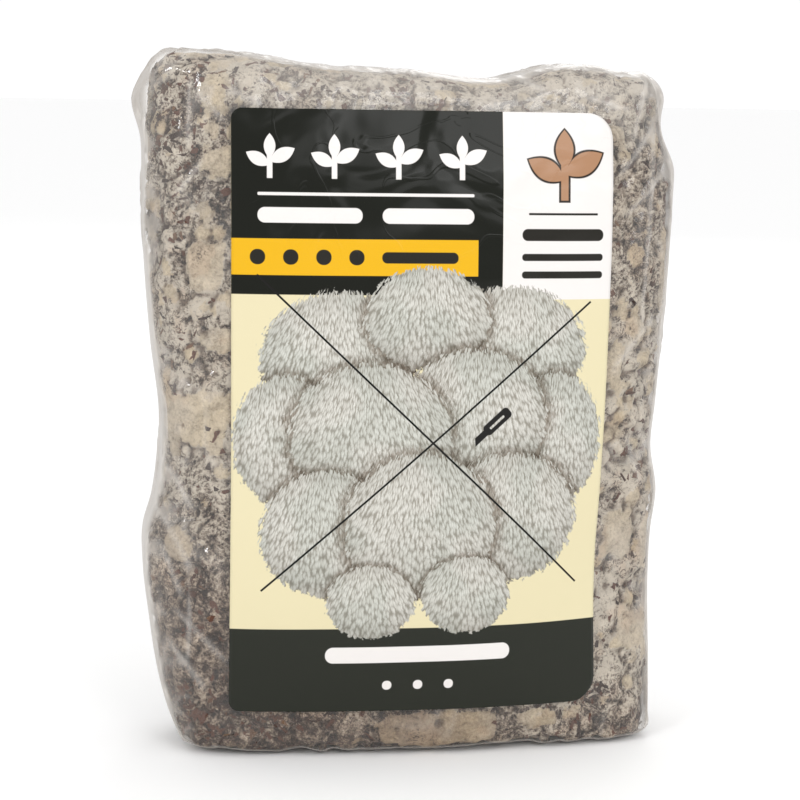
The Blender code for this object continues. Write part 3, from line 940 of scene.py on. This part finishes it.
def sheet_on_panel(side, width, height, foot, corners, columns, rows):
    """Points of a sheet laid along a panel's curve, which keeps its width, and its own (across, up).

    A row at height v reaches w / 2 - r + sqrt(r^2 - (r - v)^2) to each side within a corner's radius r.
    """
    ease = max(corners) * (1 - np.cos(np.linspace(0, np.pi / 2, 12)))
    middle = np.linspace(ease[-1], height - ease[-1], rows - 22)
    up = np.concatenate([ease[:-1], middle, height - ease[-2::-1]])
    from_end = np.minimum(up, height - up)
    left, right = (
        width / 2 - r + np.sqrt(np.maximum(r**2 - np.maximum(r - from_end, 0) ** 2, 0)) for r in corners
    )
    across = -left[:, None] + (left + right)[:, None] * np.linspace(0, 1, columns)[None, :]
    fine = np.linspace(-0.054, 0.054, 217)
    places = []
    for level, reach in zip(foot + up, across):
        run = run_along(panel_point(fine, level + 0 * fine, side, LUMPS))
        run -= np.interp(0, fine, run)
        places.append(np.interp(reach, run, fine))
    places = np.array(places)
    grid = panel_point(places, foot + up[:, None] + 0 * places, side, LUMPS)
    up = up[:, None] + 0 * across
    return (grid, across, up) if side < 0 else (grid[:, ::-1], -across[:, ::-1], up)


def laid_sheet(name, grid, under, over, across=None, up=None):
    """A thin closed sheet between two heights over a grid of panel points, with its own UV map."""
    normals = outward(grid, closed=False)
    rows, columns = grid.shape[:2]
    layers = [grid + normals * np.broadcast_to(h, (rows, columns))[..., None] for h in (under, over)]
    points = np.concatenate([layer.reshape(-1, 3) for layer in layers])
    low = np.arange(rows * columns).reshape(rows, columns)
    high = low + rows * columns
    top = np.stack([high[:-1, :-1], high[:-1, 1:], high[1:, 1:], high[1:, :-1]], axis=-1).reshape(-1, 4)
    bottom = np.stack([low[:-1, :-1], low[1:, :-1], low[1:, 1:], low[:-1, 1:]], axis=-1).reshape(-1, 4)
    rim = np.concatenate([low[0, :-1], low[:-1, -1], low[-1, :0:-1], low[:0:-1, 0]])
    onward = np.roll(rim, -1)
    wall = np.stack([rim, onward, onward + rows * columns, rim + rows * columns], axis=-1)
    piece = mesh_piece(name, points, top, bottom, wall)
    if across is not None:
        flat = np.stack([across, up], axis=-1).reshape(-1, 2)
        corner = np.concatenate([faces.ravel() for faces in (top, bottom, wall)]) % (rows * columns)
        piece.data.uv_layers.new(name="print").data.foreach_set("uv", flat[corner].astype(np.float32).ravel())
    return piece


# The print's layout, in millimetres from the label's lower left corner
DARK_PANEL = (0.0, 106.8, 67.9, 160.0)
WHITE_PANEL = (67.9, 105.8, 100.0, 160.0)
YELLOW_BAND = (-2.0, 111.6, 61.6, 120.6)
FOOT_BAND = (-2.0, -5.0, 100.0, 22.6)
CUT_LINES = (((6.3, 111.7), (90.7, 32.0)), ((7.7, 32.0), (91.2, 105.2)))
LINE_HALF_WIDTH = 0.26
BLADE_PLACE = (66.0, 74.0)
BLADE_TURN = -138.0
STRAND_WIDTH = 0.50
STRAND_LENGTH = 1.8
# How far above a tuft's middle its strands fan out from, in half heights of the tuft
FAN_HEIGHT = 2.2
# Tufts from the back of the heap to its front: centre, half width and half height
TUFTS = (
    ((27.0, 91.0), (21.0, 17.5)),
    ((71.0, 93.0), (20.0, 17.0)),
    ((49.0, 101.0), (16.5, 13.5)),
    ((13.5, 70.0), (14.0, 17.5)),
    ((83.0, 70.0), (13.0, 18.0)),
    ((61.0, 76.0), (20.0, 18.0)),
    ((35.0, 71.5), (21.5, 19.0)),
    ((71.0, 50.0), (19.5, 17.5)),
    ((24.0, 46.5), (17.5, 17.0)),
    ((48.0, 48.0), (20.5, 20.0)),
    ((60.0, 30.5), (12.5, 10.5)),
    ((35.5, 29.0), (12.0, 10.0)),
)
# Pale marks on the dark panel and foot band, and dark ones on the yellow band and white panel: the
# middle, half width, half height and corner of each rounded bar
PALE_MARKS = (
    ((33.5, 131.6), (27.0, 0.38), 0.3),
    ((19.5, 126.4), (13.0, 1.9), 1.8),
    ((49.0, 126.4), (11.5, 1.9), 1.8),
    ((48.2, 15.2), (24.0, 2.1), 2.0),
    *(((x, 7.0), (1.2, 1.2), 1.1) for x in (40.2, 48.2, 56.2)),
)
DARK_MARKS = (
    *(((x, 116.1), (1.9, 1.9), 1.8) for x in (6.5, 14.7, 22.9, 31.1)),
    ((47.0, 116.1), (9.6, 1.4), 1.3),
    ((83.4, 127.2), (9.0, 0.28), 0.2),
    ((83.4, 122.0), (10.6, 1.5), 1.4),
    *(((83.4, y), (10.6, 0.9), 0.8) for y in (116.4, 112.0)),
)
# Sprouts in a row on the dark panel, and the emblem on the white one: foot and height
SPROUTS = tuple(((x, 135.4), 10.6) for x in (9.5, 25.5, 41.5, 57.5))
EMBLEM = ((83.6, 130.6), 17.0)
# A sprout's leaves, in shares of its height: how far up, the angle, the length and the width
SPROUT_LEAVES = ((0.30, 152, 0.62, 0.30), (0.38, 28, 0.66, 0.32), (0.45, 90, 0.58, 0.27))


def bar(made, place, middle, half, corner, soft=0.10):
    """Coverage of a rounded bar: 1 where |max(|p - m| - h + r, 0)| < r."""
    away = made.vector("ABSOLUTE", made.vector("SUBTRACT", place, (*middle, 0)))
    past = made.vector("SUBTRACT", away, (half[0] - corner, half[1] - corner, 0))
    past = made.vector("LENGTH", made.vector("MAXIMUM", past, (0, 0, 0)))
    return made.step(past, corner - soft, corner + soft, 1.0, 0.0)


def panel(made, place, low_x, low_y, high_x, high_y):
    """Coverage of a square-cut panel between two corners."""
    middle = ((low_x + high_x) / 2, (low_y + high_y) / 2)
    return bar(made, place, middle, ((high_x - low_x) / 2, (high_y - low_y) / 2), 0.12, 0.09)


def leaf(made, place, foot, degrees, length, width, rim=0.0):
    """Coverage of a leaf from its foot: |y| < 1 - x^2 between x = -1 and 1 along it."""
    angle = np.radians(degrees)
    centre = (foot[0] + np.cos(angle) * length / 2, foot[1] + np.sin(angle) * length / 2)
    x, y = turned(made, place, centre, degrees, (length / 2 + rim, width / 2 + rim))
    height = made.maths("ADD", made.maths("ABSOLUTE", y), made.times(x, x))
    return made.step(height, 0.95, 1.05, 1.0, 0.0)


def sprout(made, place, foot, height, rim=0.0):
    """Coverage of a sprout: an upright stem with a leaf to each side and one at its tip."""
    x, y = foot
    stem = bar(made, place, (x, y + height * 0.3), (height * 0.045 + 0.2 + rim, height * 0.3 + rim), 0.1)
    leaves = [
        leaf(made, place, (x, y + height * up), degrees, height * long, height * wide, rim)
        for up, degrees, long, wide in SPROUT_LEAVES
    ]
    return either(made, stem, *leaves)


def tuft(made, place, ragged, colour, heap, centre, radii):
    """Paints one shaggy tuft over a colour, and its shadow over the heap: strands that fan down an ellipse.

    Strands are cells in fan coordinates, the angle about a point above the tuft and the height, drawn out
    lengthwise. Their middles are pale and the gaps between them dark, and the tuft's lower side is in shade.
    """
    away = made.vector("SUBTRACT", place, (*centre, 0))
    inside = made.vector("DIVIDE", away, (*radii, 1))
    reach = made.vector("LENGTH", inside)
    x, y = made.apart(away)
    fan_top = FAN_HEIGHT * radii[1]
    angle = made.maths("ARCTAN2", x, made.maths("SUBTRACT", fan_top, y))
    waved = made.mixed_sum((angle, fan_top / STRAND_WIDTH), (ragged, 1.5))
    lengthwise = made.mixed_sum((y, 1 / STRAND_LENGTH), (centre[0], 1.0))
    cell = made.node("ShaderNodeCombineXYZ", None, waved, lengthwise).outputs[0]
    strands = made.node("ShaderNodeTexVoronoi", {"voronoi_dimensions": "2D"}, Vector=cell, Scale=1.0)
    gaps = made.step(strands.outputs["Distance"], 0.15, 0.85)
    body = made.blend(gaps, paint(212, 210, 203), paint(154, 150, 140))
    tips = made.node("ShaderNodeSeparateColor", None, Color=strands.outputs["Color"]).outputs[0]
    body = made.blend(made.times(tips, 0.35), body, paint(186, 181, 172), "MULTIPLY")
    low_side = made.step(made.apart(inside)[1], 0.2, -1.0)
    shade = made.mixed_sum((made.step(reach, 0.50, 1.05), 0.45), (low_side, 0.55))
    body = made.blend(made.times(shade, 0.50), body, paint(158, 155, 148), "MULTIPLY")
    edge = made.mixed_sum((ragged, 0.10), (tips, 0.09), (reach, 1.0))
    shadow = made.times(made.step(edge, 1.02, 1.22, 1.0, 0.0), made.times(heap, 0.8))
    colour = made.blend(shadow, colour, paint(132, 112, 90), "MULTIPLY")
    tuft_there = made.step(edge, 1.03, 1.06, 1.0, 0.0)
    return made.blend(tuft_there, colour, body), either(made, heap, tuft_there)


def label_finish():
    """Glossy print: flat inks for the panels, tufts painted back to front, then cut lines and marks."""
    made = Finish("label_print")
    flat = made.node("ShaderNodeUVMap", {"uv_map": "print"}).outputs[0]
    place = made.vector("MULTIPLY_ADD", flat, (1000, 1000, 0), (LABEL_WIDTH * 500, 0, 0))
    dark, white, cream = paint(15, 17, 9), paint(226, 222, 219), paint(217, 207, 171)
    foot = made.mixed_sum((made.noise(place, 60, 0), 1.2))
    bowed = made.vector("ADD", place, made.node("ShaderNodeCombineXYZ", None, 0.0, foot).outputs[0])
    colour = made.blend(panel(made, bowed, *FOOT_BAND), cream, paint(37, 39, 32))
    colour = made.blend(panel(made, place, *DARK_PANEL), colour, dark)
    colour = made.blend(panel(made, place, *WHITE_PANEL), colour, white)
    colour = made.blend(panel(made, place, *YELLOW_BAND), colour, paint(221, 170, 24))
    ragged = made.noise(place, 1.0, 2, 0.6, 0.6)
    heap = 0.0
    for centre, radii in TUFTS:
        colour, heap = tuft(made, place, ragged, colour, heap, centre, radii)
    cool = made.step(made.noise(place, 16, 1), 0.42, 0.60)
    colour = made.blend(made.times(heap, cool), colour, paint(244, 247, 246), "MULTIPLY")
    for start, end in CUT_LINES:
        run = np.array(end) - np.array(start)
        middle, length = (np.array(start) + np.array(end)) / 2, np.hypot(*run)
        degrees = np.degrees(np.arctan2(run[1], run[0]))
        x, y = turned(made, place, tuple(middle), degrees, (length / 2, LINE_HALF_WIDTH))
        across = made.step(made.maths("ABSOLUTE", y), 0.7, 1.3, 1.0, 0.0)
        along = made.step(made.maths("ABSOLUTE", x), 0.999, 1.0, 1.0, 0.0)
        colour = made.blend(made.times(across, along), colour, paint(20, 19, 17))
    x, y = turned(made, place, BLADE_PLACE, BLADE_TURN, (1, 1))
    spot = made.node("ShaderNodeCombineXYZ", None, x, y).outputs[0]
    blade = made.step(made.maths("SUBTRACT", x, made.times(y, 0.8)), 6.0, 6.2, 1.0, 0.0)
    blade = made.times(bar(made, spot, (4.2, 0.1), (3.4, 0.85), 0.1), blade)
    knife = either(made, bar(made, spot, (-1.6, 0.0), (4.2, 1.45), 1.0), blade)
    slot = bar(made, spot, (-1.4, 0.1), (2.4, 0.30), 0.25)
    knife = made.maths("SUBTRACT", knife, slot, clamp=True)
    colour = made.blend(knife, colour, paint(22, 21, 19))
    marks = [bar(made, place, *mark) for mark in PALE_MARKS]
    marks += [sprout(made, place, *one) for one in SPROUTS]
    colour = made.blend(either(made, *marks), colour, white)
    marks = [bar(made, place, *mark) for mark in DARK_MARKS]
    colour = made.blend(either(made, *marks), colour, paint(34, 32, 27))
    colour = made.blend(sprout(made, place, *EMBLEM, rim=0.55), colour, paint(40, 32, 26))
    colour = made.blend(sprout(made, place, *EMBLEM), colour, paint(166, 126, 96))
    height = made.apart(place)[1]
    buckled = made.noise(place, 24.0, 2, 0.40, 0.8)
    buckled = made.times(buckled, made.step(height, 85, 135, 0.2, 1.0))
    dented = made.times(made.creases(place, 26.0, 0.016, 2, 1.2), made.step(height, 108, 122))
    raised = made.bump(made.mixed_sum((buckled, 1.0), (dented, 0.018)), 0.0016)
    return made.finish(Base_Color=colour, Roughness=0.125, Specular_IOR_Level=0.19, Normal=raised)


sheet, across, up = sheet_on_panel(
    -1, LABEL_WIDTH, LABEL_HEIGHT, LABEL_FOOT, (LABEL_LEFT_CORNER, LABEL_RIGHT_CORNER), columns=110, rows=180
)
waves = sheet_waves(sheet[..., 0], sheet[..., 2])
label = laid_sheet("label_sheet", sheet, waves + LABEL_LIFT, waves + LABEL_LIFT + LABEL_THICKNESS, across, up)
label.data.materials.append(label_finish())
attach(label, "root")
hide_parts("label")


# The fold. The bag's spare top, pressed flat and turned down over the back. Two layers of the same film,
# gathered into upright pleats that draw together towards the tape.
FOLD_UNDER = 0.00005
FOLD_TOP = 0.00030
PLEAT_HEIGHT = 0.00080

fold_sheet, fold_across, fold_up = sheet_on_panel(
    1, 2 * FOLD_HALF_WIDTH, FOLD_START - FOLD_END, FOLD_END, (0.0012, 0.0012), columns=150, rows=90
)
pleats = fold_across * (1 + 2.5 * fold_up) + 0.0018 * np.sin(fold_up / 0.011 + 3 * np.sin(fold_across / 0.02))
spots = np.stack([pleats * 1.7, 0 * pleats, fold_up * 0.18], axis=-1)
pleat_height = (1 - folded_noise(spots, 0.012, 91)) ** 3
at_edge = smooth_step(FOLD_HALF_WIDTH - np.abs(fold_across), 0.0, 0.0030) * smooth_step(
    FOLD_START - FOLD_END - fold_up, 0.0, 0.006
)
over = FOLD_TOP + PLEAT_HEIGHT * pleat_height * at_edge
creased = layered_noise(fold_sheet, 0.014, 93, layers=3)
hem = 1 - smooth_step(FOLD_HALF_WIDTH - np.abs(fold_across), 0.0008, 0.0022)
fold = laid_sheet("folded_top", fold_sheet, FOLD_UNDER, over)
note_values(fold, "haze", np.tile((0.05 + 0.30 * pleat_height + 0.10 * creased + 0.12 * hem).ravel(), 2))
fold.data.materials.append(film_finish("folded_film", paint(232, 227, 220)))
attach(fold, "root")
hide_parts("grow_bag")


# The filter. A square of white spunbond sheet welded over holes in the film, so that the block can
# breathe: its weld is a pressed border, and rows of small embossed dots hold its threads together.
FILTER_SIZE = 0.0380
FILTER_HEIGHT = 0.1320
FILTER_UNDER = 0.0011
FILTER_TOP = 0.00145
PUFF_HEIGHT = 0.00018
WELD_DEPTH = 0.00016
DENT_SPACING = 0.0013

filter_sheet, filter_across, filter_up = sheet_on_panel(
    1, FILTER_SIZE, FILTER_SIZE, FILTER_HEIGHT - FILTER_SIZE / 2, (0.0018, 0.0018), columns=90, rows=90
)
rim = np.minimum(FILTER_SIZE / 2 - np.abs(filter_across), np.minimum(filter_up, FILTER_SIZE - filter_up))
weld = smooth_step(rim, 0.0004, 0.0009) * (1 - smooth_step(rim, 0.0028, 0.0036))
puff = PUFF_HEIGHT * layered_noise(filter_sheet, 0.010, 95, layers=2)
filter_over = FILTER_TOP + puff - WELD_DEPTH * weld
patch = laid_sheet("filter_sheet", filter_sheet, FILTER_UNDER, filter_over, filter_across, filter_up)


def filter_finish():
    """White spunbond: a fine felt of threads, with a dent every 1.3 mm in staggered rows."""
    made = Finish("spunbond_filter")
    flat = made.node("ShaderNodeUVMap", {"uv_map": "print"}).outputs[0]
    settings = {"voronoi_dimensions": "2D"}
    dents = made.node("ShaderNodeTexVoronoi", settings, Vector=flat, Scale=1 / DENT_SPACING)
    dents.inputs["Randomness"].default_value = 0.12
    dent = made.step(dents.outputs["Distance"], 0.16, 0.30)
    threads = made.noise(made.place(), 0.0007, 4, 0.7, 1.8)
    colour = made.blend(made.step(threads, 0.3, 0.7), paint(222, 221, 216), paint(246, 246, 243))
    colour = made.blend(made.maths("SUBTRACT", 1.0, dent), colour, paint(206, 205, 200))
    bump = made.bump(threads, 0.00012, made.bump(dent, 0.00015))
    return made.finish(Base_Color=colour, Roughness=0.8, Normal=bump)


patch.data.materials.append(filter_finish())
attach(patch, "root")
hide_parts("filter_patch")


# The tape. A strip of clear packing tape across the end of the fold, pressed on by hand: it has small
# wrinkles and trapped air, and its cut ends are toothed by the dispenser.
TAPE_LENGTH = 0.1000
TAPE_WIDTH = 0.0240
TAPE_LIFT = 0.00135
TAPE_THICKNESS = 0.00012
TOOTH_DEPTH = 0.0005
TOOTH_WIDTH = 0.0016

tape_sheet, tape_across, tape_up = sheet_on_panel(
    1, TAPE_LENGTH, TAPE_WIDTH, FOLD_END - 0.0005 - TAPE_WIDTH / 2, (0.0003, 0.0003), columns=200, rows=60
)
teeth = TOOTH_DEPTH * np.abs(np.mod(tape_up / TOOTH_WIDTH, 1) - 0.5) * 2
teeth = teeth * smooth_step(np.abs(tape_across), TAPE_LENGTH / 2 - 0.003, TAPE_LENGTH / 2)
tape_sheet[..., 0] -= np.sign(tape_sheet[..., 0]) * teeth
wrinkle = 1 - folded_noise(tape_sheet, 0.009, 97)
trapped = smooth_step(layered_noise(tape_sheet, 0.006, 99, layers=3), 0.55, 0.8)
tape_over = TAPE_LIFT + 0.0002 * wrinkle**5
tape = laid_sheet("tape_strip", tape_sheet, tape_over - TAPE_THICKNESS, tape_over)
note_values(tape, "haze", np.tile((0.05 + 0.10 * wrinkle**5 + 0.16 * trapped).ravel(), 2))
tape.data.materials.append(film_finish("clear_tape", paint(226, 216, 196), roughness=0.07))
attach(tape, "root")
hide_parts("closing_tape")


# The stage: a pale floor and soft light from all round. A large lamp stands over the front, a wide low one
# in front, a small one to the left and one at the back. The camera stands a little to the left of the
# front and a little above it.
def level_square(name, half, height):
    """A level square about the origin."""
    signs = np.array([(-1, -1), (1, -1), (1, 1), (-1, 1)])
    corners = np.concatenate([half * signs, np.full((4, 1), height)], axis=1)
    return mesh_piece(name, corners, np.array([[0, 1, 2, 3]]), smooth=False)


floor = level_square("floor", 12.0, -0.0002)
pale = Finish("pale_floor")
floor.data.materials.append(pale.finish(Base_Color=(0.95, 0.95, 0.95, 1), Roughness=0.9))

world = bpy.data.worlds.new("studio")
world.use_nodes = True
world.node_tree.nodes["Background"].inputs["Color"].default_value = (1.0, 1.0, 1.0, 1.0)
world.node_tree.nodes["Background"].inputs["Strength"].default_value = 1.02
bpy.context.scene.world = world


def stood(name, data, right, back, place):
    """A lamp or camera at a place, by the directions of its own right and back."""
    made = bpy.data.objects.new(name, data)
    axes = np.stack([right, np.cross(back, right), back, place], axis=1)
    made.matrix_world = Matrix([*axes.tolist(), [0, 0, 0, 1]])
    bpy.context.scene.collection.objects.link(made)
    return made


def soft_lamp(name, place, aim, size, watts):
    """A flat lamp at a place, turned to face another."""
    lamp = bpy.data.lights.new(name, "AREA")
    lamp.shape, lamp.energy = "RECTANGLE", watts
    lamp.size, lamp.size_y = size
    back = np.array(place) - np.array(aim)
    back = back / np.linalg.norm(back)
    right = np.cross((0, 0, 1), back)
    stood(name, lamp, right / np.linalg.norm(right), back, place)


soft_lamp("over_lamp", (0.45, -1.40, 0.85), (0, 0, 0.10), (0.7, 0.7), 4.8)
soft_lamp("left_lamp", (-0.75, -0.75, 0.75), (0, 0, 0.10), (0.16, 0.16), 1.8)
soft_lamp("back_lamp", (0.55, 1.40, 0.90), (0, 0, 0.10), (0.6, 0.6), 3.0)
soft_lamp("low_lamp", (0.22, -1.50, 0.46), (0, 0, 0.10), (0.85, 0.22), 0.85)

AZIMUTH, ELEVATION, ROLL = np.radians([-9.0, 8.5, 1.0])
CAMERA_DISTANCE = 0.60
CAMERA_AIM = np.array([0.0, 0.0, 0.086])
LENS = 102.8
FRAME_SIZE = 800
AIM_PIXEL = (401.9, 413.3)

level_part = np.cos(ELEVATION)
back = np.array([np.sin(AZIMUTH) * level_part, -np.cos(AZIMUTH) * level_part, np.sin(ELEVATION)])
level = np.array([np.cos(AZIMUTH), np.sin(AZIMUTH), 0.0])
right = level * np.cos(ROLL) + np.cross(back, level) * np.sin(ROLL)
lens = bpy.data.cameras.new("camera")
lens.lens = LENS
lens.shift_x = (FRAME_SIZE / 2 - AIM_PIXEL[0]) / FRAME_SIZE
lens.shift_y = (AIM_PIXEL[1] - FRAME_SIZE / 2) / FRAME_SIZE
bpy.context.scene.camera = stood("camera", lens, right, back, CAMERA_AIM + CAMERA_DISTANCE * back)
bpy.context.scene.view_settings.view_transform = "Standard"
